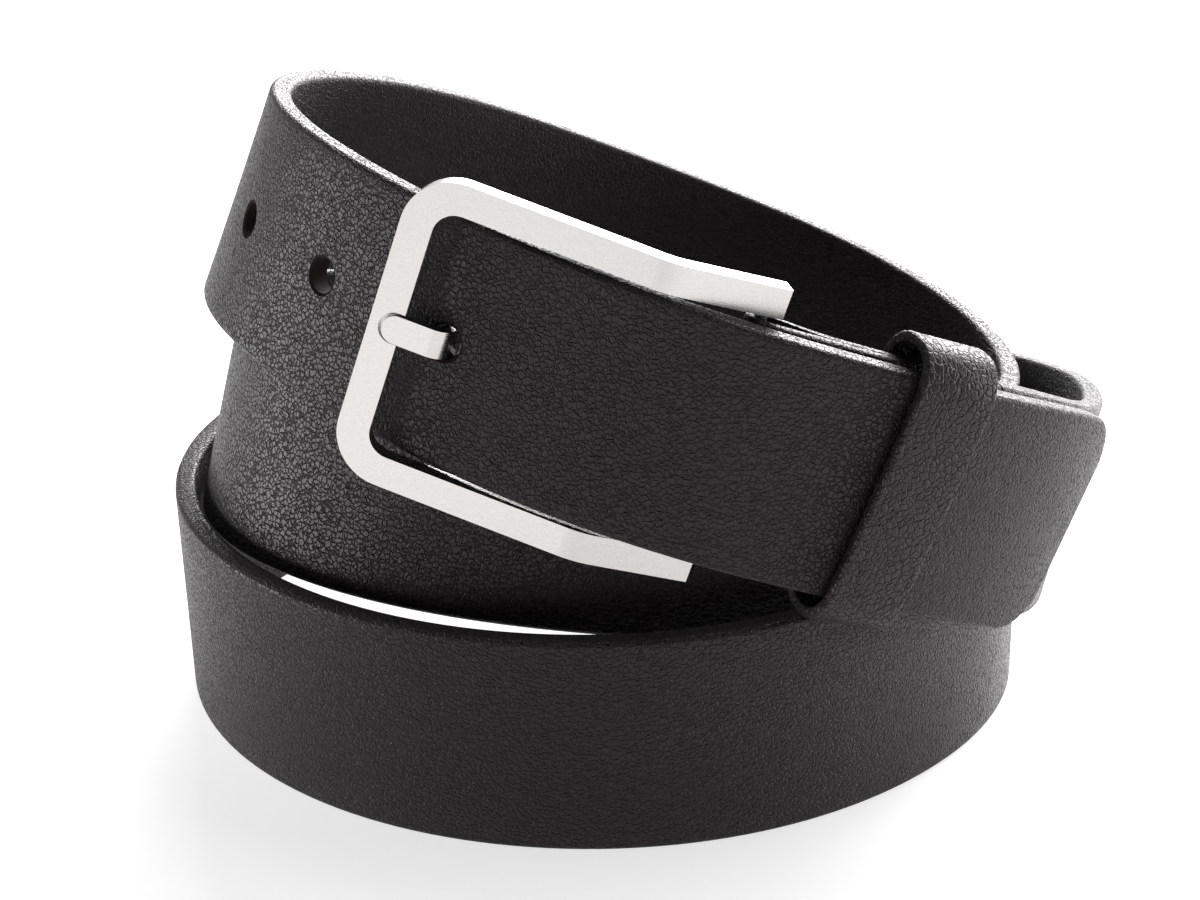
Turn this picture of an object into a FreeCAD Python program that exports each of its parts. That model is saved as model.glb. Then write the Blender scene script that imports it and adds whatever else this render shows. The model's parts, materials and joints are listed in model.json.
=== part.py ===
import FreeCAD, Part
import Sketcher
import math
import os
from FreeCAD import Placement, Rotation, Vector

# A buckled leather belt, wound in three turns and standing on its edge.
# Millimetres, +Z up, +X to the right and -Y to the front, origin on the floor under the middle of the coil.
# The strap is a ribbon along a coiled line. "turn" counts turns from the tip end, clockwise seen from above:
# whole numbers are at the right, .25 at the front, .5 at the left and .75 at the back.

SIZES = [
    ("strap_width", 35.0),
    ("strap_thickness", 3.4),
    ("glue_line", 0.04),
    ("edge_flat", 0.2),
    ("coil_x", 0.4),
    ("coil_y", 2.8),
    ("tip_starts", 0.085),
    ("tip_corner_radius", 9.0),
    ("hole_diameter", 5.0),
    ("hole_pitch", 22.7),
    ("hole_count", 5),
    ("first_hole", 110.0),
    ("under_tail", 4.3),
    ("under_tail_from", 3.0),
    ("under_tail_to", 3.13),
    ("flap_end", 30.5),
    ("flap_thickness", 1.5),
    ("fold_thickness", 1.2),
    ("heel_from_tip", 69.5),
    ("heel_drop", 0.5),
    ("front_bar_from_tip", 117.2),
    ("front_bar_rise", 4.7),
    ("front_bar_aside", 0.2),
    ("heel_bar_diameter", 2.0),
    ("heel_bar_clearance", 0.25),
    ("heel_bar_seat", 3.2),
    ("frame_thickness", 3.0),
    ("frame_opening", 36.4),
    ("frame_arm_width", 4.4),
    ("frame_bar_width", 4.4),
    ("frame_heel_end", 2.4),
    ("frame_bend_at", 13.5),
    ("frame_bend_rise", 4.6),
    ("frame_bend_radius", 9.0),
    ("frame_outer_corner", 7.5),
    ("frame_inner_corner", 3.3),
    ("notch_width", 4.5),
    ("notch_floor", 0.1),
    ("notch_reach", 1.0),
    ("prong_width", 4.0),
    ("prong_thickness", 1.8),
    ("prong_eye_diameter", 4.4),
    ("prong_eye_clearance", 0.1),
    ("prong_slot_width", 5.2),
    ("prong_slot_length", 11.0),
    ("keeper_from_tip", 42.0),
    ("keeper_width", 12.5),
    ("keeper_thickness", 1.6),
    ("keeper_half_height", 20.25),
    ("keeper_out", 2.05),
    ("keeper_in", 6.95),
    ("keeper_corner", 3.5),
    ("staple_wire", 0.6),
    ("staple_crown", 9.0),
    ("thread_diameter", 0.6),
    ("stitch_pitch", 3.4),
    ("stitch_count", 9),
    ("heel_row_from_tip", 57.0),
    ("keeper_row_from_tip", 33.0),
]

# Where the middle of the strap is at each named place: turn, distance from the coil's axis,
# height, and the lean of its top edge outwards in degrees.
STATIONS = [
    ("tip", 0.03, 71.5, 27.0, 14.0),
    ("tail", 0.125, 73.5, 47.5, 11.0),
    ("tail_front", 0.25, 69.5, 69.0, -2.0),
    ("tail_holes", 0.375, 64.5, 82.5, -13.0),
    ("upper_left", 0.5, 59.0, 82.0, -21.0),
    ("upper_back_left", 0.625, 50.5, 69.5, -12.0),
    ("upper_back", 0.75, 51.5, 52.0, 2.0),
    ("upper_right", 1.0, 56.0, 34.0, 13.0),
    ("middle_front", 1.25, 53.0, 46.5, -3.0),
    ("middle_left", 1.5, 65.0, 45.5, -12.5),
    ("middle_back_left", 1.625, 60.0, 34.5, 0.0),
    ("middle_back", 1.75, 56.0, 20.0, 7.0),
    ("lower_right", 2.0, 60.5, 17.0, 0.0),
    ("lower_front_right", 2.125, 60.1, 17.0, 0.0),
    ("lower_front", 2.25, 65.3, 17.0, 4.0),
    ("lower_left", 2.5, 72.0, 17.0, 2.0),
    ("lower_back", 2.75, 62.5, 18.0, 6.0),
    ("outer_right", 3.0, 68.0, 31.0, 12.0),
    ("buckle_end", 3.125, 69.2, 48.0, 11.0),
    ("buckle_heel", 3.25, 65.2, 69.5, -2.0),
]

# Middle line of the prong seen from the side, from its eye to its tip.
PRONG_LINE = [
    ("prong_neck", 1.6, 0.0),
    ("prong_under", 37.7, -3.9),
    ("prong_over", 40.2, 2.1),
    ("prong_tip", 48.2, 1.1),
]

doc = FreeCAD.newDocument("belt")
sheet = doc.addObject("Spreadsheet::Sheet", "sizes")


def fill_sheet():
    rows = list(SIZES)
    for name, turn, out, up, lean in STATIONS:
        rows += [(name + "_turn", turn), (name + "_out", out)]
        rows += [(name + "_up", up), (name + "_lean", lean)]
    for name, along, rise in PRONG_LINE:
        rows += [(name + "_along", along), (name + "_rise", rise)]
    for number, (alias, value) in enumerate(rows, start=1):
        sheet.set("A%d" % number, alias)
        sheet.set("B%d" % number, str(value))
        sheet.setAlias("B%d" % number, alias)
    doc.recompute()


def size(alias):
    return float(sheet.get(alias))


def natural_spline(xs, ys):
    """The smooth curve through the points whose ends are straight, as a function of x."""
    count = len(xs)
    step = [xs[i + 1] - xs[i] for i in range(count - 1)]
    diagonal = [1.0] * count
    upper = [0.0] * count
    right = [0.0] * count
    for i in range(1, count - 1):
        rise = (ys[i + 1] - ys[i]) / step[i] - (ys[i] - ys[i - 1]) / step[i - 1]
        share = step[i - 1] / diagonal[i - 1]
        diagonal[i] = 2 * (step[i - 1] + step[i]) - share * upper[i - 1]
        upper[i] = step[i]
        right[i] = 6 * rise - share * right[i - 1]
    bend = [0.0] * count
    for i in range(count - 2, 0, -1):
        bend[i] = (right[i] - upper[i] * bend[i + 1]) / diagonal[i]

    def value(x):
        i = 0
        while i < count - 2 and x > xs[i + 1]:
            i += 1
        k = step[i]
        before = xs[i + 1] - x
        after = x - xs[i]
        cubic = (bend[i] * before**3 + bend[i + 1] * after**3) / (6 * k)
        return cubic + (ys[i] / k - bend[i] * k / 6) * before + (ys[i + 1] / k - bend[i + 1] * k / 6) * after

    return value


def smooth(share):
    share = min(max(share, 0.0), 1.0)
    return share * share * (3 - 2 * share)


class Coil:
    """The strap's middle line, with its directions along, across and out of the strap."""

    def __init__(self):
        names = [station[0] for station in STATIONS]
        turns = [size(name + "_turn") for name in names]
        self.out = natural_spline(turns, [size(name + "_out") for name in names])
        self.up = natural_spline(turns, [size(name + "_up") for name in names])
        self.lean = natural_spline(turns, [size(name + "_lean") for name in names])
        self.lengths = [(0.0, size("tip_starts"))]
        self.measure()

    def own_middle(self, turn):
        lean = math.radians(self.lean(turn))
        angle = -2 * math.pi * turn
        floor = size("strap_width") / 2 * math.cos(lean) - size("edge_flat")
        x = self.out(turn) * math.cos(angle) + size("coil_x")
        y = self.out(turn) * math.sin(angle) + size("coil_y")
        return Vector(x, y, max(self.up(turn), floor))

    def axes(self, turn, middle):
        reach = 0.001
        along = (middle(turn + reach) - middle(turn - reach)).normalize()
        level = Vector(-along.y, along.x, 0).normalize()
        lean = math.radians(self.lean(turn))
        across = level * math.sin(lean) + Vector(0, 0, math.cos(lean))
        across = (across - along * across.dot(along)).normalize()
        return along, across, along.cross(across) * -1

    def middle(self, turn):
        start = size("under_tail_from")
        own = self.own_middle(turn)
        if turn <= start:
            return own
        above = turn - 3
        out = self.axes(above, self.own_middle)[2]
        under = self.own_middle(above) - out * size("under_tail")
        share = smooth((turn - start) / (size("under_tail_to") - start))
        return own * (1 - share) + under * share

    def at(self, turn):
        if turn > size("under_tail_to"):
            return (self.middle(turn),) + self.axes(turn - 3, self.own_middle)
        return (self.middle(turn),) + self.axes(turn, self.middle)

    def measure(self):
        step = 0.0005
        length, turn = self.lengths[0]
        here = self.own_middle(turn)
        while turn < 0.6:
            turn += step
            there = self.own_middle(turn)
            length += (there - here).Length
            here = there
            self.lengths.append((length, turn))

    def turn_at(self, length):
        """The turn at a distance from the tip, measured along the tail."""
        return next(turn for reached, turn in self.lengths if reached >= length)


def ribbon(rows):
    """Solid between four long curves; each row is a middle point, its across and thickness directions,
    and the distances to the inner and the outer skin."""
    half = size("strap_width") / 2
    travel = [0.0]
    for before, after in zip(rows, rows[1:]):
        travel.append(travel[-1] + (after[0] - before[0]).Length)
    corners = [(-1, 3), (1, 3), (1, 4), (-1, 4)]
    curves = []
    for side, skin in corners:
        curve = Part.BSplineCurve()
        points = [row[0] + row[1] * (side * half) + row[2] * row[skin] for row in rows]
        curve.interpolate(Points=points, Parameters=travel)
        curves.append(curve)
    cuts = travel[:-3:6] + travel[-1:]
    faces = []
    for first, last in zip(cuts, cuts[1:]):
        edges = [curve.toShape(first, last) for curve in curves]
        for a, b in zip(edges, edges[1:] + edges[:1]):
            faces.append(Part.makeRuledSurface(a, b, 1))
    for end in (travel[0], travel[-1]):
        ring = [curve.value(end) for curve in curves]
        faces.append(Part.makeRuledSurface(Part.makeLine(ring[0], ring[1]), Part.makeLine(ring[3], ring[2]), 1))
    shell = Part.Shell(faces)
    shell.sewShape()
    solid = Part.Solid(shell)
    if solid.Volume < 0:
        solid.reverse()
    return solid


def floor_cutter():
    """Everything below the floor, where the lowest turn's edge is pressed flat."""
    return Part.makeBox(400, 400, 20, Vector(-200, -200, -20))


def turns_between(first, last, step):
    count = max(2, int(math.ceil((last - first) / step)))
    return [first + (last - first) * i / count for i in range(count + 1)]


def coil_rows(coil, first, last, inner, outer, step=0.02):
    rows = []
    for turn in turns_between(first, last, step):
        middle, along, across, out = coil.at(turn)
        rows.append((middle, across, out, inner, outer))
    return rows


def face_ply_shape(coil):
    half = size("strap_thickness") / 2
    last = 3 + coil.turn_at(size("flap_end") - 0.4)
    return ribbon(coil_rows(coil, size("tip_starts"), last, size("glue_line") / 2, half))


def fold_rows(coil, bar_way):
    """The lining's way from the heel stitching round the heel bar and back as the flap."""
    half = size("strap_thickness") / 2
    row_turn = 3 + coil.turn_at(size("heel_row_from_tip") + 1.5)
    heel_turn = 3 + coil.turn_at(size("heel_from_tip"))
    flap_turn = 3 + coil.turn_at(size("flap_end"))
    radius = size("heel_bar_diameter") / 2 + size("heel_bar_clearance") + size("fold_thickness") / 2
    drop = size("heel_drop")
    ply = half - size("glue_line") / 2
    rows = []

    def leg(turn, middle_there, middle_heel, thickness_there):
        share = smooth((turn - row_turn) / (heel_turn - row_turn))
        offset = middle_there + (middle_heel - middle_there) * share
        thickness = thickness_there + (size("fold_thickness") - thickness_there) * share
        middle, along, across, out = coil.at(turn)
        across = (across * (1 - share) + bar_way * share).normalize()
        return (middle + out * offset, across, out, -thickness / 2, thickness / 2)

    inner_middle = -(half + size("glue_line") / 2) / 2
    for turn in turns_between(row_turn, heel_turn, 0.004)[1:]:
        rows.append(leg(turn, inner_middle, -drop - radius, ply))
    middle, along, across, out = coil.at(heel_turn)
    axis = middle - out * drop
    half_fold = size("fold_thickness") / 2
    for i in range(1, 12):
        angle = math.pi * i / 12
        away = along * math.sin(angle) - out * math.cos(angle)
        rows.append((axis + away * radius, bar_way, away * -1, -half_fold, half_fold))
    flap_middle = half - size("flap_thickness") / 2
    for turn in reversed(turns_between(row_turn, heel_turn, 0.004)):
        middle, across, out, low, high = leg(turn, flap_middle, radius - drop, size("flap_thickness"))
        rows.append((middle, across, out * -1, low, high))
    flap = size("flap_thickness") / 2
    for turn in reversed(turns_between(flap_turn, row_turn, 0.01)[:-1]):
        middle, along, across, out = coil.at(turn)
        rows.append((middle + out * flap_middle, across, out * -1, -flap, flap))
    return rows


def lining_ply_shape(coil, bar_way):
    half = size("strap_thickness") / 2
    ply = half - size("glue_line") / 2
    centre = -(half + size("glue_line") / 2) / 2
    row_turn = 3 + coil.turn_at(size("heel_row_from_tip") + 1.5)
    rows = []
    for turn in turns_between(size("tip_starts"), row_turn, 0.02):
        middle, along, across, out = coil.at(turn)
        rows.append((middle + out * centre, across, out, -ply / 2, ply / 2))
    return ribbon(rows + fold_rows(coil, bar_way))


def placement_from(origin, along, out):
    """Local X along, local Z out, local Y across."""
    across = out.cross(along).normalize()
    return Placement(origin, Rotation(along, across, out, "ZXY"))


def strap_place(coil, length, lift=0.0):
    middle, along, across, out = coil.at(coil.turn_at(length))
    return placement_from(middle + out * lift, along, out)


def placed(shape, placement):
    shape.Placement = placement
    return shape


def tip_cutters(coil):
    radius = size("tip_corner_radius")
    half = size("strap_width") / 2
    cutters = []
    for side in (-1, 1):
        block = Part.makeBox(radius + 5, radius + 5, 6.3, Vector(-5, half - radius, -2.3))
        round_part = Part.makeCylinder(radius, 6.3, Vector(radius, half - radius, -2.3))
        cutter = block.cut(round_part)
        if side < 0:
            cutter = cutter.mirror(Vector(), Vector(0, 1, 0))
        middle, along, across, out = coil.at(size("tip_starts"))
        cutters.append(placed(cutter, placement_from(middle, along, out)))
    return cutters


def hole_cutters(coil):
    cutters = []
    for number in range(int(size("hole_count"))):
        drill = Part.makeCylinder(size("hole_diameter") / 2, 8, Vector(0, 0, -4))
        length = size("first_hole") + number * size("hole_pitch")
        cutters.append(placed(drill, strap_place(coil, length)))
    return cutters


def stitch_row_shape(coil, length):
    """A row of lock stitches across the strap: a run on each skin and a post through every needle hole."""
    radius = size("thread_diameter") / 2
    reach = size("strap_thickness") / 2 + radius * 0.6
    pitch = size("stitch_pitch")
    count = int(size("stitch_count"))
    start = -pitch * (count - 1) / 2
    pieces = []
    for i in range(count):
        post = Part.makeCylinder(radius, 2 * reach, Vector(0, start + i * pitch, -reach))
        pieces.append(post)
        for end in (-1, 1):
            pieces.append(Part.makeSphere(radius, Vector(0, start + i * pitch, end * reach)))
    for side in (-1, 1):
        run = Part.makeCylinder(radius, pitch * (count - 1), Vector(0, start, side * reach), Vector(0, 1, 0))
        pieces.append(run)
    row = pieces[0].multiFuse(pieces[1:]).removeSplitter()
    middle, along, across, out = coil.at(3 + coil.turn_at(length))
    return row, placement_from(middle, along, out)


def strip_outline(points, radii, thickness):
    """Closed outline of a bent strip: lines and bends on both sides of its middle line."""
    sides = ([], [])
    for index, (start, end) in enumerate(zip(points, points[1:])):
        direction = (end - start).normalize()
        normal = Vector(-direction.y, direction.x, 0)
        before = after = 0.0
        if index > 0:
            before = bend_length(points[index - 1], start, end, radii[index - 1])
        if index < len(points) - 2:
            after = bend_length(start, end, points[index + 2], radii[index])
        for side, sign in zip(sides, (1, -1)):
            offset = normal * (sign * thickness / 2)
            side.append((start + direction * before + offset, end - direction * after + offset))
    outline = []
    for side, sign in zip(sides, (1, -1)):
        for index, (start, end) in enumerate(side):
            outline.append(Part.LineSegment(start, end))
            if index < len(side) - 1:
                outline.append(bend_arc(points[index : index + 3], radii[index], sign * thickness / 2))
    outline.append(Part.LineSegment(sides[0][0][0], sides[1][0][0]))
    outline.append(Part.LineSegment(sides[0][-1][1], sides[1][-1][1]))
    return outline


def turn_angle(before, corner, after):
    first = (corner - before).normalize()
    second = (after - corner).normalize()
    return math.atan2(first.x * second.y - first.y * second.x, first.dot(second))


def bend_length(before, corner, after, radius):
    return radius * math.tan(abs(turn_angle(before, corner, after)) / 2)


def bend_arc(three, radius, offset):
    before, corner, after = three
    angle = turn_angle(before, corner, after)
    first = (corner - before).normalize()
    second = (after - corner).normalize()
    run = bend_length(before, corner, after, radius)
    left = 1 if angle > 0 else -1
    centre = corner - first * run + Vector(-first.y, first.x, 0) * (left * radius)
    reach = radius - left * offset
    ends = [centre + Vector(d.y, -d.x, 0) * (left * reach) for d in (first, second)]
    halfway = (first + second).normalize()
    middle = centre + Vector(halfway.y, -halfway.x, 0) * (left * reach)
    return Part.Arc(ends[0], middle, ends[1])


def new_body(name):
    body = doc.addObject("PartDesign::Body", name)
    body.Label = name
    return body


def new_sketch(body, name, plane, geometry, lift=None):
    sketch = body.newObject("Sketcher::SketchObject", name)
    base = next(item for item in body.Origin.OriginFeatures if item.Role == plane)
    sketch.AttachmentSupport = [(base, "")]
    sketch.MapMode = "FlatFace"
    if lift:
        sketch.setExpression("AttachmentOffset.Base.z", lift)
    for item in geometry:
        sketch.addGeometry(item, False)
    return sketch


def circle_sketch(body, name, plane, diameter_expression):
    sketch = new_sketch(body, name, plane, [Part.Circle(Vector(), Vector(0, 0, 1), 1.0)])
    sketch.addConstraint(Sketcher.Constraint("Coincident", 0, 3, -1, 1))
    sketch.addConstraint(Sketcher.Constraint("Diameter", 0, 2.0))
    sketch.renameConstraint(1, "diameter")
    sketch.setExpression("Constraints.diameter", diameter_expression)
    return sketch


def pad(body, name, sketch, length_expression):
    feature = body.newObject("PartDesign::Pad", name)
    feature.Profile = sketch
    feature.SideType = "Symmetric"
    feature.setExpression("Length", length_expression)
    return feature


def pocket(body, name, sketch, length_expression, one_way=False, reverse=False):
    feature = body.newObject("PartDesign::Pocket", name)
    feature.Profile = sketch
    feature.SideType = "One side" if one_way else "Symmetric"
    feature.Reversed = reverse
    feature.setExpression("Length", length_expression)
    return feature


def rounded_rectangle(x0, y0, x1, y1, radius):
    """Four lines and four corner arcs, anticlockwise."""
    r = radius
    lines = [
        (Vector(x0 + r, y0, 0), Vector(x1 - r, y0, 0)),
        (Vector(x1, y0 + r, 0), Vector(x1, y1 - r, 0)),
        (Vector(x1 - r, y1, 0), Vector(x0 + r, y1, 0)),
        (Vector(x0, y1 - r, 0), Vector(x0, y0 + r, 0)),
    ]
    centres = [(x1 - r, y0 + r), (x1 - r, y1 - r), (x0 + r, y1 - r), (x0 + r, y0 + r)]
    shapes = []
    for index, (start, end) in enumerate(lines):
        shapes.append(Part.LineSegment(start, end))
        cx, cy = centres[index]
        middle_angle = math.radians(-45 + 90 * index)
        middle = Vector(cx + r * math.cos(middle_angle), cy + r * math.sin(middle_angle), 0)
        shapes.append(Part.Arc(end, middle, lines[(index + 1) % 4][0]))
    return shapes


def edges_where(shape, test):
    return ["Edge%d" % (i + 1) for i, edge in enumerate(shape.Edges) if test(edge)]


def fillet(body, name, base, test, radius_expression):
    doc.recompute()
    feature = body.newObject("PartDesign::Fillet", name)
    feature.Base = (base, edges_where(base.Shape, test))
    feature.setExpression("Radius", radius_expression)
    return feature


def build_frame(placement, reach):
    """The square three-sided frame: front bar and two arms that bend in towards the heel bar."""
    body = new_body("buckle_frame")
    thickness = size("frame_thickness")
    bend = Vector(size("frame_bend_at"), size("frame_bend_rise"), 0)
    heel_way = Vector(bend).normalize()
    front_way = (Vector(reach, 0, 0) - bend).normalize()
    start = heel_way * -size("frame_heel_end")
    end = Vector(reach, 0, 0) + front_way * (size("frame_bar_width") / 2)
    side = strip_outline([start, bend, end], [size("frame_bend_radius")], thickness)
    profile = new_sketch(body, "frame_side", "XZ_Plane", side)
    pad(body, "frame_plate", profile, "sizes.frame_opening + 2 * sizes.frame_arm_width")
    inner = reach - size("frame_bar_width") / 2
    half = size("frame_opening") / 2
    window = rounded_rectangle(-20, -half, inner, half, size("frame_inner_corner"))
    window_sketch = new_sketch(body, "frame_window_outline", "XY_Plane", window)
    opened = pocket(body, "frame_window", window_sketch, "sizes.frame_opening")

    def outer_corner(edge):
        box = edge.BoundBox
        wide = min(abs(box.YMin), abs(box.YMax)) > half + size("frame_arm_width") - 0.1
        return wide and box.XMin > reach - 1 and box.YLength < 0.01

    fillet(body, "frame_corners", opened, outer_corner, "sizes.frame_outer_corner")
    width = size("notch_width") / 2
    tip = reach + size("notch_reach") - width
    notch = [
        Part.LineSegment(Vector(inner - 3, -width, 0), Vector(tip, -width, 0)),
        Part.Arc(Vector(tip, -width, 0), Vector(tip + width, 0, 0), Vector(tip, width, 0)),
        Part.LineSegment(Vector(tip, width, 0), Vector(inner - 3, width, 0)),
        Part.LineSegment(Vector(inner - 3, width, 0), Vector(inner - 3, -width, 0)),
    ]
    notch_sketch = new_sketch(body, "notch_outline", "XY_Plane", notch, "sizes.notch_floor")
    pocket(body, "prong_notch", notch_sketch, "sizes.frame_thickness * 2", one_way=True, reverse=True)
    bore_sketch = circle_sketch(body, "heel_bore_outline", "XZ_Plane", "sizes.heel_bar_diameter")
    bore = pocket(body, "heel_bore", bore_sketch, "sizes.frame_opening + 2 * sizes.heel_bar_seat")
    body.Tip = bore
    body.Placement = placement


def build_heel_bar(placement):
    body = new_body("heel_bar")
    outline = circle_sketch(body, "heel_bar_outline", "XZ_Plane", "sizes.heel_bar_diameter")
    pad(body, "heel_bar_rod", outline, "sizes.frame_opening + 2 * sizes.heel_bar_seat")
    body.Placement = placement
    return body


def build_prong(placement):
    body = new_body("prong")
    eye = circle_sketch(body, "prong_eye_outline", "XZ_Plane", "sizes.prong_eye_diameter")
    pad(body, "prong_eye", eye, "sizes.prong_width")
    line = [Vector(size(name + "_along"), size(name + "_rise"), 0) for name, along, rise in PRONG_LINE]
    side = strip_outline(line, [3.0, 1.6], size("prong_thickness"))
    profile = new_sketch(body, "prong_side", "XZ_Plane", side)
    shank = pad(body, "prong_shank", profile, "sizes.prong_width")

    def tip_edge(edge):
        box = edge.BoundBox
        return box.XMin > line[-1].x - 1 and box.YLength < 0.01 and edge.Length > 1

    fillet(body, "prong_round_tip", shank, tip_edge, "sizes.prong_width / 2 - 0.01")
    bore_width = "sizes.heel_bar_diameter + 2 * sizes.prong_eye_clearance"
    bore = circle_sketch(body, "prong_bore_outline", "XZ_Plane", bore_width)
    opened = pocket(body, "prong_bore", bore, "sizes.prong_width * 2")
    body.Tip = opened
    body.Placement = placement


def build_keeper(placement):
    """A closed leather band round the tail and the strap beneath it."""
    body = new_body("keeper_loop")
    wall = size("keeper_thickness")
    high = size("keeper_half_height")
    out, inward, corner = size("keeper_out"), size("keeper_in"), size("keeper_corner")
    inner = rounded_rectangle(-high, -inward, high, out, corner)
    outer = rounded_rectangle(-high - wall, -inward - wall, high + wall, out + wall, corner + wall)
    profile = new_sketch(body, "keeper_section", "YZ_Plane", outer + inner)
    pad(body, "keeper_band", profile, "sizes.keeper_width")
    body.Placement = placement
    return body


def build_staple(placement):
    """Wire staple that closes the keeper's butted ends, with its crown on the inside of the coil."""
    body = new_body("keeper_staple")
    wire = size("staple_wire")
    back = -size("keeper_in") - size("keeper_thickness")
    half = size("staple_crown") / 2
    tips = -size("keeper_in") - 0.1
    corners = [(-half, tips), (-half, back - wire), (half, back - wire), (half, tips)]
    corners += [(half - wire, tips), (half - wire, back), (wire - half, back), (wire - half, tips)]
    points = [Vector(y, z, 0) for y, z in corners]
    outline = [Part.LineSegment(a, b) for a, b in zip(points, points[1:] + points[:1])]
    profile = new_sketch(body, "staple_outline", "YZ_Plane", outline)
    pad(body, "staple_rod", profile, "sizes.staple_wire")
    body.Placement = placement
    return body


def cut_for_staple(keeper, staple_body):
    """Opens the two slots in the keeper's back wall that the staple's legs fill."""
    wire = size("staple_wire")
    half = size("staple_crown") / 2
    slots = []
    for y in (-half, half - wire):
        x0, x1 = y, y + wire
        z0, z1 = -size("keeper_in") - size("keeper_thickness") - 1, -size("keeper_in") - 0.1
        ring = [Vector(x0, z0, 0), Vector(x1, z0, 0), Vector(x1, z1, 0), Vector(x0, z1, 0)]
        slots += [Part.LineSegment(a, b) for a, b in zip(ring, ring[1:] + ring[:1])]
    outline = new_sketch(keeper, "staple_slots_outline", "YZ_Plane", slots)
    slotted = pocket(keeper, "staple_slots", outline, "sizes.staple_wire")
    keeper.Tip = slotted


def add_feature(name, shape, placement=None):
    feature = doc.addObject("Part::Feature", name)
    feature.Label = name
    feature.Shape = shape
    if placement:
        feature.Placement = placement
    return feature


def build_all():
    fill_sheet()
    coil = Coil()
    heel = coil.at(3 + coil.turn_at(size("heel_from_tip")))
    heel_point = heel[0] - heel[3] * size("heel_drop")
    front = coil.at(coil.turn_at(size("front_bar_from_tip")))
    front_point = front[0] + front[3] * size("front_bar_rise") + front[2] * size("front_bar_aside")
    along = (front_point - heel_point).normalize()
    across = coil.at(coil.turn_at(92.0))[2]
    buckle_place = placement_from(heel_point, along, across.cross(along).normalize())
    reach = (front_point - heel_point).Length
    build_frame(buckle_place, reach)
    build_heel_bar(buckle_place)
    build_prong(buckle_place)
    keeper_place = strap_place(coil, size("keeper_from_tip"))
    keeper = build_keeper(keeper_place)
    staple = build_staple(keeper_place)
    cut_for_staple(keeper, staple)

    heel_row, heel_row_place = stitch_row_shape(coil, size("heel_row_from_tip"))
    keeper_row, keeper_row_place = stitch_row_shape(coil, size("keeper_row_from_tip"))
    rows = [placed(heel_row.copy(), heel_row_place), placed(keeper_row.copy(), keeper_row_place)]
    slot_length = size("prong_slot_length")
    slot_width = size("prong_slot_width")
    slot = Part.makeBox(slot_length, slot_width, 9, Vector(-4, -slot_width / 2, -6))
    cutters = tip_cutters(coil) + hole_cutters(coil) + [floor_cutter()]
    bar_way = buckle_place.Rotation.multVec(Vector(0, -1, 0))
    face = face_ply_shape(coil).cut(cutters)
    lining = lining_ply_shape(coil, bar_way).cut(cutters + rows + [placed(slot, buckle_place)])
    add_feature("strap_face", face)
    add_feature("strap_lining", lining)
    add_feature("heel_stitching", heel_row, heel_row_place)
    add_feature("keeper_stitching", keeper_row, keeper_row_place)
    doc.recompute()


NODES = [
    "strap_face",
    "strap_lining",
    "heel_stitching",
    "keeper_stitching",
    "buckle_frame",
    "heel_bar",
    "prong",
    "keeper_loop",
    "keeper_staple",
]


def write_parts():
    for item in doc.Objects:
        if {"Invalid", "Error"} & set(item.State):
            raise RuntimeError("%s is in state %s" % (item.Name, item.State))
    os.makedirs("parts", exist_ok=True)
    for name in NODES:
        shape = doc.getObject(name).Shape
        if shape.isNull() or not shape.isValid() or len(shape.Solids) != 1:
            raise RuntimeError("%s has no single valid solid" % name)
        shape.exportStep("parts/%s.step" % name)
        print(name, round(shape.Volume, 2))


build_all()
write_parts()
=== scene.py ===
import json
import math

import bmesh
import bpy
import numpy as np
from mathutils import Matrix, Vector


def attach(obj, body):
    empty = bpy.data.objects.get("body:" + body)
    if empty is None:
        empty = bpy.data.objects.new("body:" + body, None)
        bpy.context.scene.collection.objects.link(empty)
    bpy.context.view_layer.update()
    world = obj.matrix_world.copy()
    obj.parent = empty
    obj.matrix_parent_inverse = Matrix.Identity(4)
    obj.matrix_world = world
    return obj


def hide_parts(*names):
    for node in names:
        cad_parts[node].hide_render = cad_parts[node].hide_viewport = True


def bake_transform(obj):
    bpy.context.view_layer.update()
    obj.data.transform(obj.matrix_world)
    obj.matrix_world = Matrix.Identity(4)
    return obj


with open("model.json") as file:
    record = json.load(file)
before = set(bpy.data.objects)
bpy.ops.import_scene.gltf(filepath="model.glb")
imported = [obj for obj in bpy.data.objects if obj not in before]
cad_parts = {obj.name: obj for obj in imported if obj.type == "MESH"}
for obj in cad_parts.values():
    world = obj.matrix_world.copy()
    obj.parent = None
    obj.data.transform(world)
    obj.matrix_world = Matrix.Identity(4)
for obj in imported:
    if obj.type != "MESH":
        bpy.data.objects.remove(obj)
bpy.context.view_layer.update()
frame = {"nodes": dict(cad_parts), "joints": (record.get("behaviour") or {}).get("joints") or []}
nodes = frame["nodes"]

MM = 0.001
STRAP_WIDTH = 35.0
STRAP_HALF = 1.7
GLUE_HALF = 0.02
EDGE_ROUND = 0.8
COIL_CENTRE = (0.4, 2.8)
TIP_TURN = 0.085
TIP_CORNER = 9.0
HOLES = [110.0 + 22.7 * i for i in range(5)]
HOLE_RADIUS = 2.5
RIM_DEPTH = 0.32
PUNCH_REACH = 4.0
PUNCH_MOUTH = 6.18
PUNCH_SIDES = 40
FLAP_END = 30.5
HEEL_ROW = 57.0
KEEPER_ROW = 33.0
HEEL = 69.5
HEEL_DROP = 0.5
HEEL_RADIUS = 1.85
FOLD_THICKNESS = 1.2
FLAP_THICKNESS = 1.5
FRONT_BAR = 117.2
TAIL_END = 235.0
BEND_TO_BUCKLE = (52.0, 106.0)
BEND_FROM_BUCKLE = (122.0, 215.0)
UNDER_TAIL = 4.3
JOIN_START = 3.0
JOIN_TURNS = 0.13
KEEPER = 42.0
KEEPER_HIGH = 21.05
KEEPER_OUTER = 2.85
KEEPER_INNER = -7.75
KEEPER_CROWN = 0.25
KEEPER_SKEW = 0.035
STITCH_PITCH = 3.4
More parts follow.
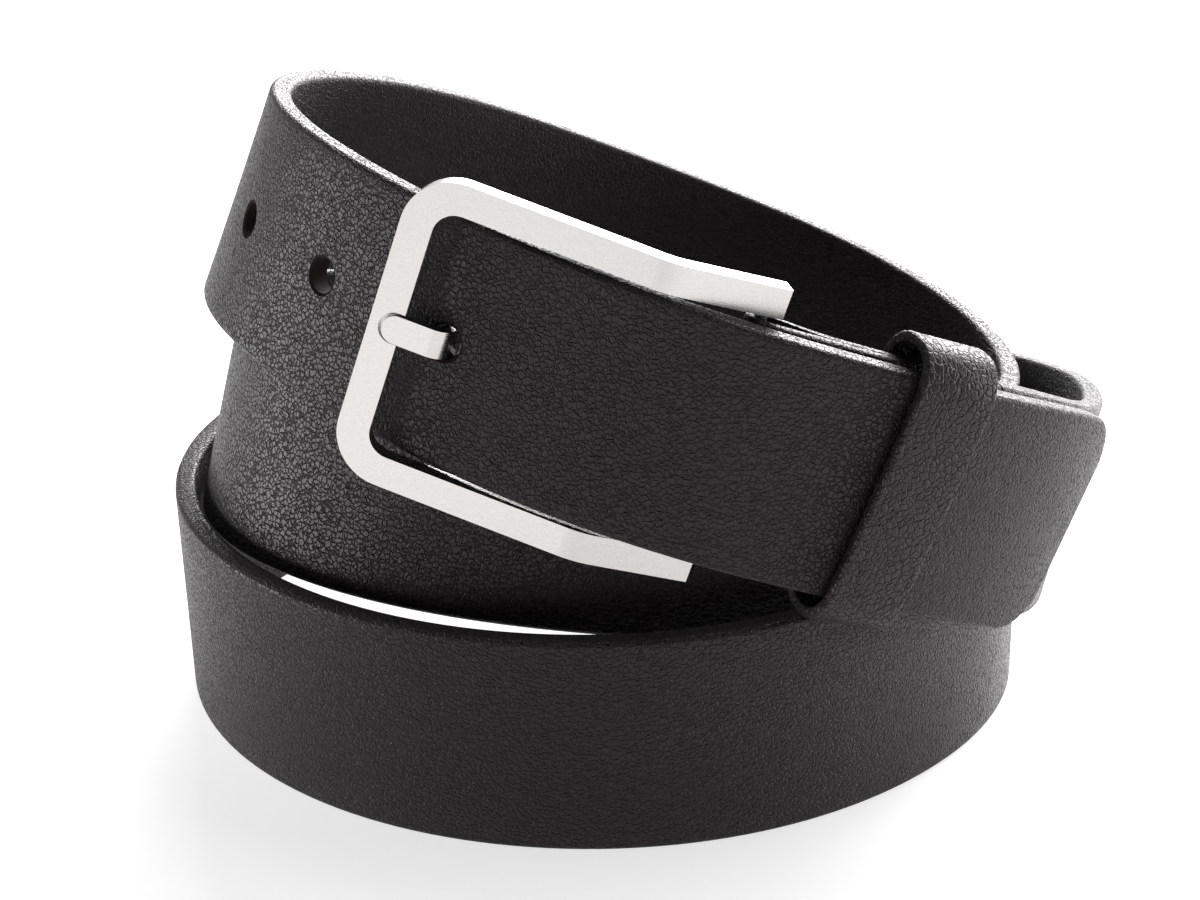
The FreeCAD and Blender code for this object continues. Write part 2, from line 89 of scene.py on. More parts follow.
STITCH_COUNT = 8
THREAD_RADIUS = 0.3

# Middle of the strap at each place along the coil: turn, distance from the axis, height, outward lean.
STATIONS = [
    (0.03, 71.5, 27.0, 14.0),
    (0.125, 73.5, 47.5, 11.0),
    (0.25, 69.5, 69.0, -2.0),
    (0.375, 64.5, 82.5, -13.0),
    (0.5, 59.0, 82.0, -21.0),
    (0.625, 50.5, 69.5, -12.0),
    (0.75, 51.5, 52.0, 2.0),
    (1.0, 56.0, 34.0, 13.0),
    (1.25, 53.0, 46.5, -3.0),
    (1.5, 65.0, 45.5, -12.5),
    (1.625, 60.0, 34.5, 0.0),
    (1.75, 56.0, 20.0, 7.0),
    (2.0, 60.5, 17.0, 0.0),
    (2.125, 60.1, 17.0, 0.0),
    (2.25, 65.3, 17.0, 4.0),
    (2.5, 72.0, 17.0, 2.0),
    (2.75, 62.5, 18.0, 6.0),
    (3.0, 68.0, 31.0, 12.0),
    (3.125, 69.2, 48.0, 11.0),
    (3.25, 65.2, 69.5, -2.0),
]


def natural_spline(xs, ys):
    """The smooth curve through the points whose ends are straight, as a function of x."""
    xs = np.array(xs)
    ys = np.array(ys)
    step = np.diff(xs)
    count = len(xs)
    matrix = np.eye(count)
    right = np.zeros(count)
    for i in range(1, count - 1):
        matrix[i, i - 1 : i + 2] = step[i - 1], 2 * (step[i - 1] + step[i]), step[i]
        right[i] = 6 * ((ys[i + 1] - ys[i]) / step[i] - (ys[i] - ys[i - 1]) / step[i - 1])
    bend = np.linalg.solve(matrix, right)

    def value(x):
        i = min(max(int(np.searchsorted(xs, x)) - 1, 0), count - 2)
        k = step[i]
        before = xs[i + 1] - x
        after = x - xs[i]
        cubic = (bend[i] * before**3 + bend[i + 1] * after**3) / (6 * k)
        return cubic + (ys[i] / k - bend[i] * k / 6) * before + (ys[i + 1] / k - bend[i + 1] * k / 6) * after

    return value


def smooth(share):
    """Eases from 0 to 1, level at both ends."""
    share = min(max(share, 0.0), 1.0)
    return share * share * (3 - 2 * share)


def unit(v):
    return v / np.linalg.norm(v)


OUT, UP, LEAN = (natural_spline([s[0] for s in STATIONS], [s[i] for s in STATIONS]) for i in (1, 2, 3))


def own_middle(turn):
    """Middle of the coiled line, kept above the floor."""
    angle = -2 * math.pi * turn
    floor = STRAP_WIDTH / 2 * math.cos(math.radians(LEAN(turn)))
    x = OUT(turn) * math.cos(angle) + COIL_CENTRE[0]
    y = OUT(turn) * math.sin(angle) + COIL_CENTRE[1]
    return np.array([x, y, max(UP(turn), floor)])


def axes(turn, middle):
    """Directions along, across and outwards on a line through the strap."""
    along = unit(middle(turn + 0.001) - middle(turn - 0.001))
    level = unit(np.array([-along[1], along[0], 0.0]))
    lean = math.radians(LEAN(turn))
    across = level * math.sin(lean) + np.array([0, 0, math.cos(lean)])
    across = unit(across - along * across.dot(along))
    return along, across, -np.cross(along, across)


def strap_middle(turn):
    """Middle of the strap, which slips under its own tail after three turns."""
    own = own_middle(turn)
    if turn <= JOIN_START:
        return own
    under = own_middle(turn - 3) - axes(turn - 3, own_middle)[2] * UNDER_TAIL
    share = smooth((turn - JOIN_START) / JOIN_TURNS)
    return own * (1 - share) + under * share


def strap_at(turn):
    """Middle of the strap and its directions along, across and outwards."""
    if turn > JOIN_START + JOIN_TURNS:
        return (strap_middle(turn),) + axes(turn - 3, own_middle)
    return (strap_middle(turn),) + axes(turn, strap_middle)


def measure_tail():
    """Turns along the tail and the length of strap from the tip to each."""
    turns = np.arange(TIP_TURN, 0.62, 0.0005)
    points = np.array([own_middle(turn) for turn in turns])
    steps = np.linalg.norm(np.diff(points, axis=0), axis=1)
    return turns, np.concatenate([[0.0], np.cumsum(steps)])


TAIL_TURNS, TAIL_LENGTHS = measure_tail()


def turn_at(length):
    """Turn at a distance from the tip along the tail."""
    return float(np.interp(length, TAIL_LENGTHS, TAIL_TURNS))


def ply_profile(half_width, thickness, across_steps):
    """Closed outline of one ply: (across, share of the thickness from the glue line to the skin)."""
    radius = min(EDGE_ROUND, thickness * 0.55, half_width * 0.5)
    points = []
    for i in range(across_steps + 1):
        points.append((half_width * (1 - 2 * i / across_steps), 0.0))
    corner = [(1 - math.cos(a), math.sin(a)) for a in np.linspace(0, math.pi / 2, 6)]
    for aside, rise in corner:
        points.append((-half_width + radius * aside, 1 - radius / thickness * (1 - rise)))
    flat = half_width - radius
    for i in range(1, across_steps):
        points.append((-flat + 2 * flat * i / across_steps, 1.0))
    for aside, rise in reversed(corner):
        points.append((half_width - radius * aside, 1 - radius / thickness * (1 - rise)))
    return points


def add_object(name, mesh):
    obj = bpy.data.objects.new(name, mesh)
    bpy.context.scene.collection.objects.link(obj)
    return obj


def mesh_object(name, bm):
    """Closes off a bmesh as an object with its faces turned outwards."""
    bmesh.ops.recalc_face_normals(bm, faces=bm.faces)
    mesh = bpy.data.meshes.new(name)
    bm.to_mesh(mesh)
    bm.free()
    return add_object(name, mesh)


def sweep(name, rows, across_steps):
    """Mesh along rows of (middle, across, out, glue side, skin side, half width, distance along)."""
    bm = bmesh.new()
    layer = bm.loops.layers.uv.new("grain")
    rings = []
    for middle, across, out, glue, skin, half_width, travel in rows:
        profile = ply_profile(half_width, abs(skin - glue), across_steps)
        ring = []
        for aside, share in profile:
            point = middle + across * aside + out * (glue + (skin - glue) * share)
            ring.append(bm.verts.new(point * MM))
        rings.append(ring)
    full = ply_profile(STRAP_WIDTH / 2, STRAP_HALF, across_steps)
    girth = [0.0]
    for (y0, t0), (y1, t1) in zip(full, full[1:] + full[:1]):
        girth.append(girth[-1] + math.hypot(y1 - y0, (t1 - t0) * STRAP_HALF))
    count = len(full)
    skin_starts = across_steps + 6
    edge_strips = set(range(across_steps, skin_starts)) | set(range(count - 6, count))
    for index in range(len(rings) - 1):
        for k in range(count):
            following = (k + 1) % count
            corners = [
                (rings[index][k], index, k),
                (rings[index][following], index, k + 1),
                (rings[index + 1][following], index + 1, k + 1),
                (rings[index + 1][k], index + 1, k),
            ]
            face = bm.faces.new([corner[0] for corner in corners])
            face.smooth = True
            face.material_index = 1 if k in edge_strips else 0
            for loop, (vert, row, place) in zip(face.loops, corners):
                loop[layer].uv = (rows[row][6], girth[place])
    for ring in (rings[0], rings[-1]):
        bm.faces.new(ring)
    obj = mesh_object(name, bm)
    obj.data.set_sharp_from_angle(angle=math.radians(50))
    return obj


def tip_half_width(length):
    """Half of the strap's width near its round-cornered tip."""
    half = STRAP_WIDTH / 2
    if length >= TIP_CORNER:
        return half
    return half - TIP_CORNER + math.sqrt(max(TIP_CORNER**2 - (TIP_CORNER - length) ** 2, 0.0))


def tail_rows(first, last, glue, skin, step=1.5):
    lengths = list(np.arange(first, last, step)) + [last]
    if first == 0.0:
        lengths = [0.0, 0.15, 0.4, 0.8, 1.3, 2.0, 2.8, 3.8, 5.0, 6.3, 7.7] + [x for x in lengths if x > 8.5]
    rows = []
    for length in lengths:
        middle, along, across, out = strap_at(turn_at(length))
        thin = 1.0 if length > 0.6 else 0.62 + 0.38 * math.sqrt(1 - (1 - length / 0.6) ** 2)
        rows.append((middle, across, out, glue, glue + (skin - glue) * thin, tip_half_width(length), length))
    return rows


def coil_rows(first, last, glue, skin, start_length, step=0.006):
    rows = []
    travel = start_length
    before = None
    for turn in np.linspace(first, last, max(3, int((last - first) / step))):
        middle, along, across, out = strap_at(turn)
        if before is not None:
            travel += np.linalg.norm(middle - before)
        before = middle
        rows.append((middle, across, out, glue, skin, STRAP_WIDTH / 2, travel))
    return rows


def heel_bar_direction():
    """Upward direction of the heel bar, from the joint that turns about it."""
    joint = next(j for j in frame["joints"] if j["name"] == "buckle_swing")
    return unit(np.array(joint["axis"]))


def fold_rows(start_length):
    """The lining from the heel stitching round the heel bar and back along the outside as the flap."""
    row_turn = 3 + turn_at(HEEL_ROW + 1.5)
    heel_turn = 3 + turn_at(HEEL)
    flap_turn = 3 + turn_at(FLAP_END)
    ply = STRAP_HALF - GLUE_HALF
    half = STRAP_WIDTH / 2
    bar_way = heel_bar_direction()
    rows = []
    travel = start_length

    def leg(turn, middle_there, middle_heel, thickness_there):
        share = smooth((turn - row_turn) / (heel_turn - row_turn))
        offset = middle_there + (middle_heel - middle_there) * share
        thickness = thickness_there + (FOLD_THICKNESS - thickness_there) * share
        middle, along, across, out = strap_at(turn)
        across = unit(across * (1 - share) + bar_way * share)
        return middle + out * offset, across, out, thickness / 2

    inner_middle = -(STRAP_HALF + GLUE_HALF) / 2
    for turn in np.linspace(row_turn, heel_turn, 12)[1:]:
        middle, across, out, reach = leg(turn, inner_middle, -HEEL_DROP - HEEL_RADIUS, ply)
        travel += 1.0
        rows.append((middle, across, out, reach, -reach, half, travel))
    middle, along, across, out = strap_at(heel_turn)
    axis = middle - out * HEEL_DROP
    reach = FOLD_THICKNESS / 2
    for angle in np.linspace(0, math.pi, 14)[1:-1]:
        away = along * math.sin(angle) - out * math.cos(angle)
        travel += 0.4
        rows.append((axis + away * HEEL_RADIUS, bar_way, -away, reach, -reach, half, travel))
    flap_middle = STRAP_HALF - FLAP_THICKNESS / 2
    for turn in np.linspace(heel_turn, row_turn, 12):
        middle, across, out, reach = leg(turn, flap_middle, HEEL_RADIUS - HEEL_DROP, FLAP_THICKNESS)
        travel += 1.0
        rows.append((middle, across, -out, reach, -reach, half, travel))
    reach = FLAP_THICKNESS / 2
    for turn in np.linspace(row_turn, flap_turn, 16)[1:]:
        middle, along, across, out = strap_at(turn)
        travel += 1.8
        rows.append((middle + out * flap_middle, across, -out, reach, -reach, half, travel))
    return rows


def join_rings(bm, rings):
    """Side faces between rings of vertices, and a face on each end."""
    count = len(rings[0])
    sides = []
    for low, high in zip(rings, rings[1:]):
        for k in range(count):
            following = (k + 1) % count
            sides.append(bm.faces.new([low[k], low[following], high[following], high[k]]))
    bm.faces.new(rings[0])
    bm.faces.new(rings[-1])
    return sides


def hole_cutter(length):
    """Round punch with flared ends, which leave the hole's rim soft."""
    side = [
        (-PUNCH_REACH, PUNCH_MOUTH),
        (-STRAP_HALF + RIM_DEPTH, HOLE_RADIUS),
        (STRAP_HALF - RIM_DEPTH, HOLE_RADIUS),
        (PUNCH_REACH, PUNCH_MOUTH),
    ]
    middle, along, across, out = strap_at(turn_at(length))
    bm = bmesh.new()
    rings = []
    for height, wide in side:
        ring = []
        for k in range(PUNCH_SIDES):
            angle = 2 * math.pi * k / PUNCH_SIDES
            aside = along * (wide * math.cos(angle))
            spot = middle + aside + across * (wide * math.sin(angle)) + out * height
            ring.append(bm.verts.new(spot * MM))
        rings.append(ring)
    join_rings(bm, rings)
    return mesh_object("punch", bm)


def apply_modifiers(obj):
    """Keeps what the modifiers make and takes the modifiers away."""
    bpy.context.view_layer.update()
    depsgraph = bpy.context.evaluated_depsgraph_get()
    mesh = bpy.data.meshes.new_from_object(obj.evaluated_get(depsgraph))
    obj.modifiers.clear()
    obj.data = mesh


def punch(obj, lengths):
    """Cuts the holes at these distances from the tip, with bare fibre on their walls."""
    for length in lengths:
        cutter = hole_cutter(length)
        set_materials(cutter, raw_fibre)
        modifier = obj.modifiers.new("punch", "BOOLEAN")
        modifier.operation = "DIFFERENCE"
        modifier.solver = "EXACT"
        modifier.material_mode = "TRANSFER"
        modifier.object = cutter
        apply_modifiers(obj)
        bpy.data.objects.remove(cutter)
    obj.data.set_sharp_from_angle(angle=math.radians(35))


def tube(bm, points, radius, sides=8):
    """Round thread along a line of points."""
    rings = []
    for index, point in enumerate(points):
        before = points[max(index - 1, 0)]
        after = points[min(index + 1, len(points) - 1)]
        along = unit(after - before)
        helper = np.array([1.0, 0, 0]) if abs(along[0]) < 0.8 else np.array([0, 1.0, 0])
        first = unit(np.cross(along, helper))
        second = np.cross(along, first)
        ring = []
        for k in range(sides):
            angle = 2 * math.pi * k / sides
            spot = point + (first * math.cos(angle) + second * math.sin(angle)) * radius
            ring.append(bm.verts.new(spot * MM))
        rings.append(ring)
    for face in join_rings(bm, rings):
        face.smooth = True


def stitch_row(name, length):
    """Lock stitches across the strap, on both skins, each dipping into its needle holes."""
    middle, along, across, out = strap_at(3 + turn_at(length))
    start = -STITCH_PITCH * STITCH_COUNT / 2
    bm = bmesh.new()
    for skin in (-1, 1):
        for i in range(STITCH_COUNT):
            points = []
            for share in np.linspace(0, 1, 9):
                lift = STRAP_HALF - 0.45 + 0.62 * math.sin(math.pi * share) ** 0.6
                slant = (share - 0.5) * 0.5
                aside = start + STITCH_PITCH * (i + 0.06 + 0.88 * share)
                points.append(middle + across * aside + along * slant + out * (skin * lift))
            tube(bm, points, THREAD_RADIUS)
    return mesh_object(name, bm)


def keeper_path():
    """Middle line of the keeper's band in the strap's section: (across, out), round all four sides."""
    outer_y, outer_z = 5.6, 4.6
    inner_radius = 4.6
    top = KEEPER_OUTER - outer_z
    bottom = KEEPER_INNER + inner_radius
    points = []

    def corner(y, z, radius_y, radius_z, start):
        for angle in np.linspace(start, start + 90, 9):
            a = math.radians(angle)
            points.append((y + radius_y * math.cos(a), z + radius_z * math.sin(a)))

    corner(KEEPER_HIGH - outer_y, top, outer_y, outer_z, 0)
    for share in np.linspace(0, 1, 12)[1:-1]:
        y = (KEEPER_HIGH - outer_y) * (1 - 2 * share)
        points.append((y, KEEPER_OUTER + KEEPER_CROWN * math.sin(math.pi * share)))
    corner(-KEEPER_HIGH + outer_y, top, outer_y, outer_z, 90)
    corner(-KEEPER_HIGH + inner_radius, bottom, inner_radius, inner_radius, 180)
    for share in np.linspace(0, 1, 10)[1:-1]:
        points.append(((KEEPER_HIGH - inner_radius) * (2 * share - 1), KEEPER_INNER))
    corner(KEEPER_HIGH - inner_radius, bottom, inner_radius, inner_radius, 270)
    return points


def keeper_mesh():
    """Leather band with soft edges, which leans a little along the strap."""
    middle, along, across, out = strap_at(turn_at(KEEPER))
    path = [np.array(p) for p in keeper_path()]
    half, thick, radius = 6.25, 1.6, 0.45
    section = []
    for sign_x, sign_t, start in ((1, 1, 0), (-1, 1, 90), (-1, -1, 180), (1, -1, 270)):
        for angle in (start, start + 30, start + 60, start + 90):
            a = math.radians(angle)
            x = sign_x * (half - radius) + radius * math.cos(a)
            t = sign_t * (thick / 2 - radius) + radius * math.sin(a)
            section.append((x, t))
    bm = bmesh.new()
    layer = bm.loops.layers.uv.new("grain")
    rings = []
    travel = [0.0]
    count = len(path)
    for index, point in enumerate(path):
        after = path[(index + 1) % count]
        before = path[index - 1]
        tangent = unit(after - before)
        normal = np.array([tangent[1], -tangent[0]])
        if normal.dot(point) < 0 and abs(point[0]) > 5:
            normal = -normal
        if abs(point[0]) <= 5:
            normal = np.array([0.0, math.copysign(1.0, point[1] + 2)])
        travel.append(travel[-1] + np.linalg.norm(after - point))
        ring = []
        for x, t in section:
            y, z = point + normal * t
            skew = x + y * KEEPER_SKEW
            ring.append(bm.verts.new((middle + along * skew + across * y + out * z) * MM))
        rings.append(ring)
    size = len(section)
    girth = [0.0]
    for a, b in zip(section, section[1:] + section[:1]):
        girth.append(girth[-1] + math.hypot(b[0] - a[0], b[1] - a[1]))
    for index in range(count):
        following = (index + 1) % count
        for k in range(size):
            nearby = (k + 1) % size
            corners = [rings[index][k], rings[index][nearby], rings[following][nearby], rings[following][k]]
            places = [(index, k), (index, k + 1), (index + 1, k + 1), (index + 1, k)]
            face = bm.faces.new(corners)
            face.smooth = True
            for loop, (row, place) in zip(face.loops, places):
                loop[layer].uv = (girth[place], travel[row])
    return mesh_object("keeper_band", bm)


def new_material(name):
    """A material with only its shader and output."""
    material = bpy.data.materials.new(name)
    material.use_nodes = True
    tree = material.node_tree
    tree.nodes.clear()
    output = tree.nodes.new("ShaderNodeOutputMaterial")
    shader = tree.nodes.new("ShaderNodeBsdfPrincipled")
    tree.links.new(shader.outputs["BSDF"], output.inputs["Surface"])
    return material, tree, shader


def node(tree, kind, links=None, **values):
    """Adds a node, sets its inputs or properties by name, and links sockets into it."""
    made = tree.nodes.new(kind)
    for key, value in values.items():
        if key in made.inputs:
            made.inputs[key].default_value = value
        else:
            setattr(made, key, value)
    for socket, source in (links or {}).items():
        tree.links.new(source, made.inputs[socket])
    return made


def shade_range(tree, value, start, end, low, high, kind="LINEAR"):
    """Socket that carries the value moved from one range to another."""
    made = node(tree, "ShaderNodeMapRange", {"Value": value}, interpolation_type=kind)
    for socket, limit in zip(("From Min", "From Max", "To Min", "To Max"), (start, end, low, high)):
        made.inputs[socket].default_value = limit
    return made.outputs[0]


def tint(tree, shader, factor, colour, spread):
    """Varies the base colour between a darker and a lighter tone of the same colour."""
    mixed = node(tree, "ShaderNodeMix", {"Factor": factor}, data_type="RGBA")
    mixed.inputs["A"].default_value = tuple(c * (1 - spread) for c in colour) + (1.0,)
    mixed.inputs["B"].default_value = tuple(c * (1 + spread) for c in colour) + (1.0,)
    tree.links.new(mixed.outputs["Result"], shader.inputs["Base Color"])


def leather(name, colour, cell, depth, roughness):
    """Black grained leather: fine creases between small pebbles, with soft larger unevenness."""
    material, tree, shader = new_material(name)
    place = node(tree, "ShaderNodeTexCoord").outputs["UV"]
    warp = node(tree, "ShaderNodeTexNoise", {"Vector": place}, Scale=0.9, Detail=2.0)
    shifted = node(tree, "ShaderNodeVectorMath", {0: place, 1: warp.outputs["Color"]}, operation="ADD")
    grain = {"Vector": shifted.outputs[0]}
    creases = node(tree, "ShaderNodeTexVoronoi", grain, feature="DISTANCE_TO_EDGE", Scale=1 / cell)
    fine = node(tree, "ShaderNodeTexVoronoi", grain, feature="SMOOTH_F1", Scale=2.6 / cell)
    broad = node(tree, "ShaderNodeTexNoise", {"Vector": place}, Scale=0.12, Detail=3.0)
    crease = shade_range(tree, creases.outputs["Distance"], 0.0, 0.16, 0.0, 1.0, "SMOOTHSTEP")
    uneven = shade_range(tree, broad.outputs[0], 0.3, 0.7, 0.0, 1.0)
    deep = node(tree, "ShaderNodeMath", {0: crease, 1: uneven}, operation="MULTIPLY")
    weighted = node(tree, "ShaderNodeMath", {0: crease, 1: deep.outputs[0]}, operation="ADD")
    layers = {0: fine.outputs["Distance"], 2: weighted.outputs[0]}
    height = node(tree, "ShaderNodeMath", layers, operation="MULTIPLY_ADD")
    height.inputs[1].default_value = -0.35
    bump = node(tree, "ShaderNodeBump", {"Height": height.outputs[0]}, Strength=1.0, Distance=depth * MM)
    tree.links.new(bump.outputs[0], shader.inputs["Normal"])
    tint(tree, shader, uneven, colour, 0.2)
    rough = shade_range(tree, crease, 0.0, 1.0, roughness + 0.25, roughness)
    tree.links.new(rough, shader.inputs["Roughness"])
    shader.inputs["Specular IOR Level"].default_value = 0.3
    shader.inputs["Specular Tint"].default_value = (1.0, 0.93, 0.95, 1.0)
    return material


def edge_paint(name, colour, roughness):
    """Slightly wavy paint or bare fibre."""
    material, tree, shader = new_material(name)
    where = node(tree, "ShaderNodeTexCoord")
    scaled = node(tree, "ShaderNodeMapping", {"Vector": where.outputs["Object"]})
    scaled.inputs["Scale"].default_value = (1000.0, 1000.0, 1000.0)
    waves = node(tree, "ShaderNodeTexNoise", {"Vector": scaled.outputs[0]}, Scale=0.8, Detail=4.0)
    bump = node(tree, "ShaderNodeBump", {"Height": waves.outputs[0]}, Strength=0.6, Distance=0.08 * MM)
    tree.links.new(bump.outputs[0], shader.inputs["Normal"])
    tint(tree, shader, waves.outputs[0], colour, 0.3)
    shader.inputs["Roughness"].default_value = roughness
    return material


def steel(name, colour, roughness, brush):
    """Steel with a fine brushing along the buckle's length."""
    material, tree, shader = new_material(name)
    where = node(tree, "ShaderNodeTexCoord")
    turned = node(tree, "ShaderNodeMapping", {"Vector": where.outputs["Object"]})
    turned.inputs["Rotation"].default_value = (0.0, math.radians(17.7), math.radians(4.8))
    turned.inputs["Scale"].default_value = (40.0, 2500.0, 2500.0)
    lines = node(tree, "ShaderNodeTexNoise", {"Vector": turned.outputs[0]}, Scale=1.6, Detail=4.0)
    bump = node(tree, "ShaderNodeBump", {"Height": lines.outputs[0]}, Strength=brush, Distance=0.02 * MM)
    tree.links.new(bump.outputs[0], shader.inputs["Normal"])
    rough = shade_range(tree, lines.outputs[0], 0.0, 1.0, roughness - 0.03, roughness + 0.04)
    tree.links.new(rough, shader.inputs["Roughness"])
    shader.inputs["Base Color"].default_value = colour + (1.0,)
    shader.inputs["Metallic"].default_value = 1.0
    return material


def thread_material():
    material, tree, shader = new_material("thread")
    where = node(tree, "ShaderNodeTexCoord")
    scaled = node(tree, "ShaderNodeMapping", {"Vector": where.outputs["Object"]})
    scaled.inputs["Scale"].default_value = (1000.0, 1000.0, 1000.0)
    strands = node(tree, "ShaderNodeTexWave", {"Vector": scaled.outputs[0]}, Scale=1.4)
    strands.bands_direction = "DIAGONAL"
    bump = node(tree, "ShaderNodeBump", {"Height": strands.outputs["Fac"]}, Strength=0.8, Distance=0.06 * MM)
    tree.links.new(bump.outputs[0], shader.inputs["Normal"])
    shader.inputs["Base Color"].default_value = (0.012, 0.011, 0.012, 1.0)
    shader.inputs["Roughness"].default_value = 0.6
    return material


def set_materials(obj, *materials):
    obj.data.materials.clear()
    for material in materials:
        obj.data.materials.append(material)


def bend_between(obj, lengths):
    """Bakes the piece's placement into its mesh; the points at the two distances from the tip are worked out
    but not used.
    """
    start, end = (strap_middle(turn_at(length)) * MM for length in lengths)
    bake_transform(obj)


def strap_pieces(materials):
    """Both plies, each as tail, holed stretch and coil."""
    first = turn_at(TAIL_END)
    plies = [
        ("face", "strap_face", GLUE_HALF, STRAP_HALF),
        ("lining", "strap_lining", -GLUE_HALF, -STRAP_HALF),
    ]
    for name, cad_node, glue, skin in plies:
        is_face = name == "face"
        tail = sweep(name + "_tail", tail_rows(0.0, FRONT_BAR, glue, skin), 24)
        holed = sweep(name + "_holed", tail_rows(FRONT_BAR, TAIL_END, glue, skin), 24)
        coil_end = FLAP_END - 0.4 if is_face else HEEL_ROW + 1.5
        rest_rows = coil_rows(first, 3 + turn_at(coil_end), glue, skin, TAIL_END)
        if not is_face:
            rest_rows += fold_rows(rest_rows[-1][6])
        rest = sweep(name + "_coil", rest_rows, 6)
        for obj in (tail, holed, rest):
            set_materials(obj, materials[name], materials["edge"])
        punch(tail, HOLES[:1])
        punch(holed, HOLES[1:])
        for obj in (tail, holed, rest):
            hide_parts(cad_node)
        bend_between(tail, BEND_TO_BUCKLE)
        bend_between(holed, BEND_FROM_BUCKLE)
        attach(rest, "strap")


def bevel(obj, width, limit_degrees, segments=3):
    """Rounds the sharp edges and gives the rounded strips the second material."""
    modifier = obj.modifiers.new("soft_edges", "BEVEL")
    modifier.width = width * MM
    modifier.segments = segments
    modifier.limit_method = "ANGLE"
    modifier.angle_limit = math.radians(limit_degrees)
    modifier.use_clamp_overlap = False
    modifier.harden_normals = True
    modifier.material = 1
    for polygon in obj.data.polygons:
        polygon.use_smooth = True


def add_area(name, place, target, width, height, power):
    light = bpy.data.lights.new(name, "AREA")
    light.shape = "RECTANGLE"
    light.size = width
    light.size_y = height
    light.energy = power
    obj = bpy.data.objects.new(name, light)
    bpy.context.scene.collection.objects.link(obj)
    obj.location = place
    obj.rotation_euler = (Vector(target) - Vector(place)).to_track_quat("-Z", "Y").to_euler()


def build_world():
    """Pale studio behind, dark towards the front."""
    world = bpy.data.worlds.new("studio")
    world.use_nodes = True
    tree = world.node_tree
    background = tree.nodes["Background"]
    where = node(tree, "ShaderNodeTexCoord")
    parts = node(tree, "ShaderNodeSeparateXYZ", {0: where.outputs["Generated"]})
    tone = shade_range(tree, parts.outputs["Y"], -0.3, 0.6, 0.08, 0.55, "SMOOTHSTEP")
    tree.links.new(tone, background.inputs["Strength"])
    background.inputs["Color"].default_value = (1.0, 1.0, 1.0, 1.0)
    return world


def floor_material():
    """White floor with painted light: it glows though it is no lamp, least under the front of the belt,
    where the dimmer glow is painted shade, and less far out at the sides.
    """
    material, tree, shader = new_material("white_floor")
    where = node(tree, "ShaderNodeTexCoord")
    parts = node(tree, "ShaderNodeSeparateXYZ", {0: where.outputs["Object"]})
    ahead = node(tree, "ShaderNodeMath", {0: parts.outputs["Y"]}, operation="ADD")
    ahead.inputs[1].default_value = 0.1
    away = node(tree, "ShaderNodeMath", {0: ahead.outputs[0]}, operation="ABSOLUTE")
    # Painted shade: the floor's glow is weakest just under the front of the belt.
    depth = shade_range(tree, away.outputs[0], 0.02, 0.16, 0.68, 0.95, "SMOOTHSTEP")
    beside = node(tree, "ShaderNodeMath", {0: parts.outputs["X"]}, operation="ABSOLUTE")
    width = shade_range(tree, beside.outputs[0], 0.28, 0.5, 1.0, 0.3, "SMOOTHSTEP")
    # Painted light: the floor glows by this amount, though it is no lamp.
    painted_floor_glow = node(tree, "ShaderNodeMath", {0: depth, 1: width}, operation="MULTIPLY")
    tree.links.new(painted_floor_glow.outputs[0], shader.inputs["Emission Strength"])
    shader.inputs["Base Color"].default_value = (0.5, 0.5, 0.5, 1.0)
    shader.inputs["Roughness"].default_value = 0.12
    shader.inputs["Specular IOR Level"].default_value = 0.35
    shader.inputs["Emission Color"].default_value = (1.0, 1.0, 1.0, 1.0)
    return material


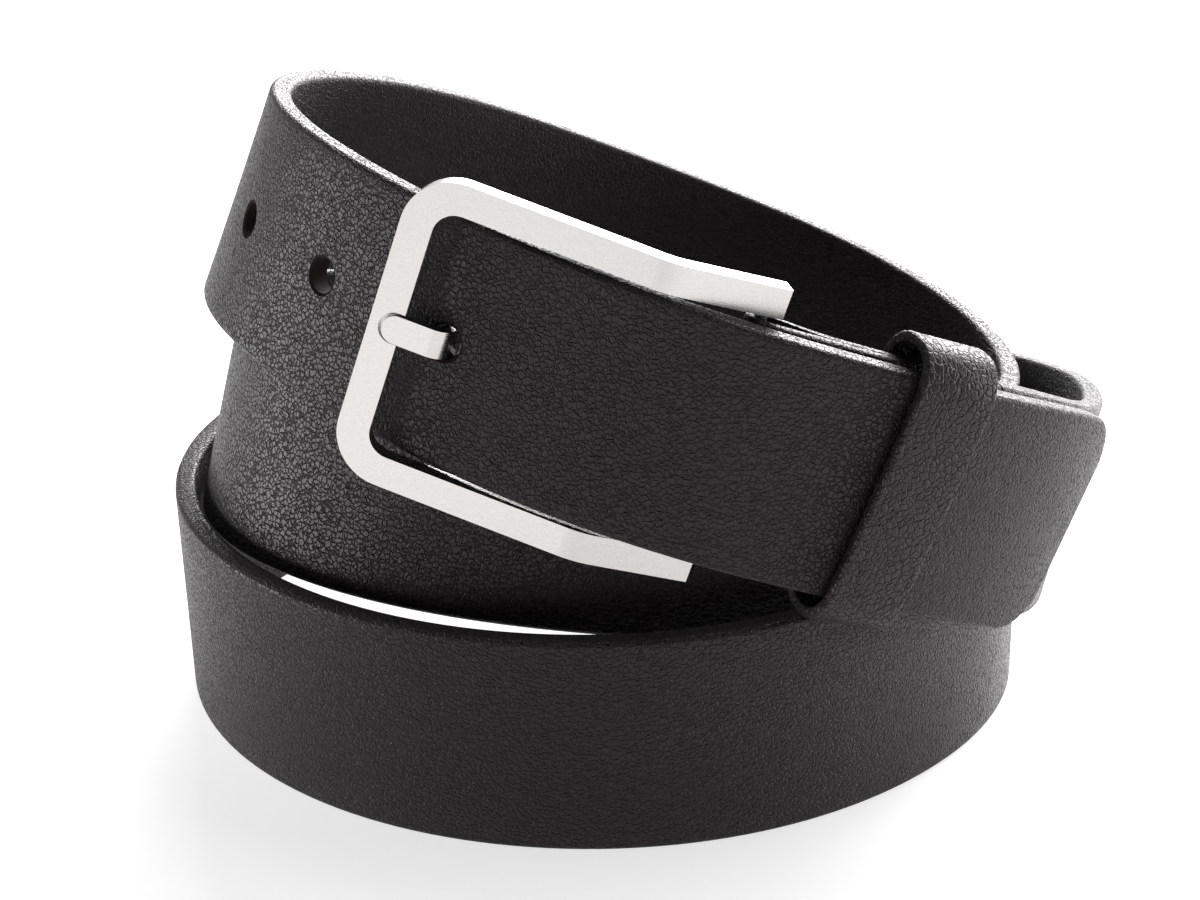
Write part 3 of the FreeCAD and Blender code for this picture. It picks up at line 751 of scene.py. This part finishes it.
def build_stage():
    """Floor, surroundings and lights."""
    scene = bpy.context.scene
    mesh = bpy.data.meshes.new("floor")
    mesh.from_pydata([(-3, -3, 0), (3, -3, 0), (3, 3, 0), (-3, 3, 0)], [], [(0, 1, 2, 3)])
    floor = add_object("floor", mesh)
    floor.location.z = -0.0001
    set_materials(floor, floor_material())
    scene.world = build_world()
    add_area("back", (0.35, 0.95, 0.55), (0, 0, 0.06), 1.1, 0.8, 46)
    add_area("overhead", (0.3, 0.2, 0.7), (0, 0, 0.05), 0.6, 0.5, 4)
    add_area("left_side", (-0.5, -0.05, 0.03), (0, 0, 0.02), 0.5, 0.08, 1.5)
    add_area("right_side", (0.5, 0.05, 0.08), (0, 0, 0.02), 0.4, 0.16, 1.4)
    add_area("front_left", (-0.35, -0.6, 0.12), (0, 0, 0.06), 0.35, 0.2, 0.3)
    scene.view_settings.view_transform = "Standard"


def add_camera():
    """Camera in front of the buckle, looking down at the coil."""
    scene = bpy.context.scene
    data = bpy.data.cameras.new("camera")
    data.lens = 81.9
    data.sensor_width = 36.0
    data.clip_start = 0.01
    camera = bpy.data.objects.new("camera", data)
    scene.collection.objects.link(camera)
    target = Vector((-0.0056, 0.0028, 0.0358))
    elevation = math.radians(22.5)
    distance = 0.4455
    camera.location = target + Vector((0, -math.cos(elevation), math.sin(elevation))) * distance
    camera.rotation_euler = (target - camera.location).to_track_quat("-Z", "Y").to_euler()
    scene.camera = camera


face_leather = leather("face_leather", (0.0085, 0.0062, 0.007), 0.8, 0.12, 0.4)
lining_leather = leather("lining_leather", (0.008, 0.006, 0.0068), 0.8, 0.1, 0.44)
keeper_leather = leather("keeper_leather", (0.011, 0.0085, 0.009), 1.0, 0.17, 0.4)
raw_fibre = edge_paint("raw_fibre", (0.01, 0.007, 0.006), 0.85)
raw_fibre.node_tree.nodes["Principled BSDF"].inputs["Specular IOR Level"].default_value = 0.1
satin = steel("satin_steel", (0.52, 0.505, 0.495), 0.27, 0.12)
polished = steel("polished_steel", (0.75, 0.74, 0.73), 0.12, 0.05)
thread = thread_material()
painted_edge = edge_paint("painted_edge", (0.012, 0.011, 0.011), 0.3)

strap_pieces({"face": face_leather, "lining": lining_leather, "edge": painted_edge})

band = keeper_mesh()
set_materials(band, keeper_leather)
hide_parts("keeper_loop")
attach(band, "keeper")

for row_name, length in (("heel_stitching", HEEL_ROW), ("keeper_stitching", KEEPER_ROW)):
    row = stitch_row(row_name.replace("stitching", "stitches"), length)
    set_materials(row, thread)
    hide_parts(row_name)
    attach(row, "strap")

for name in ("buckle_frame", "prong"):
    set_materials(nodes[name], satin, polished)
    bevel(nodes[name], 0.3, 40)
for name in ("heel_bar", "keeper_staple"):
    set_materials(nodes[name], polished)

build_stage()
add_camera()
